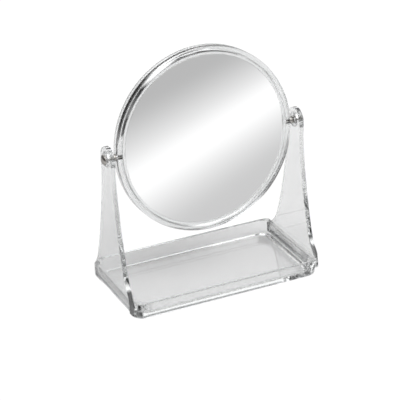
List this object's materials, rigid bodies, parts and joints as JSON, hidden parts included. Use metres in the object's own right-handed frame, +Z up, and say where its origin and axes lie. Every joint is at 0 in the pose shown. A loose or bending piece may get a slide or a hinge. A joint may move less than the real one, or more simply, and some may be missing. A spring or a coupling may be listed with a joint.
{
  "type": "dresser vanity tray",
  "caption": "Clear plastic dresser tray with rounded corners, whose two flared end posts carry a round two-sided tilting mirror on pivot screws.",
  "frame": {"origin": "on the ground under the middle of the tray, at the height of the tray's underside", "axes": "+Z up; +X to the right along the tray and the pivot axis, seen from the front; +Y to the back, so the plain mirror faces -Y"},
  "size_m": [0.1788, 0.0898, 0.2013],
  "materials": {
    "clear_plastic": "water-clear acrylic, polished, about 1.49 refractive index",
    "mirror": "silvered float glass",
    "spacer": "dark closed-cell foam, matte",
    "bush": "clear nylon, slightly frosted",
    "chrome": "bright chrome plate"
  },
  "bodies": {
    "base": {"tray": "clear_plastic", "left_post": "clear_plastic", "right_post": "clear_plastic", "left_bush": "bush", "right_bush": "bush"},
    "mirror": {"front_bezel": "clear_plastic", "rear_bezel": "clear_plastic", "front_mirror": "mirror", "rear_mirror": "mirror", "spacer_ring": "spacer", "left_pivot_screw": "chrome", "right_pivot_screw": "chrome", "left_sleeve": "chrome", "right_sleeve": "chrome"}
  },
  "joints": [
    {"name": "mirror_tilt", "type": "hinge", "parent": "base", "child": "mirror", "pos_m": [0, 0, 0.1242], "axis": [1, 0, 0], "continuous": true}
  ]
}
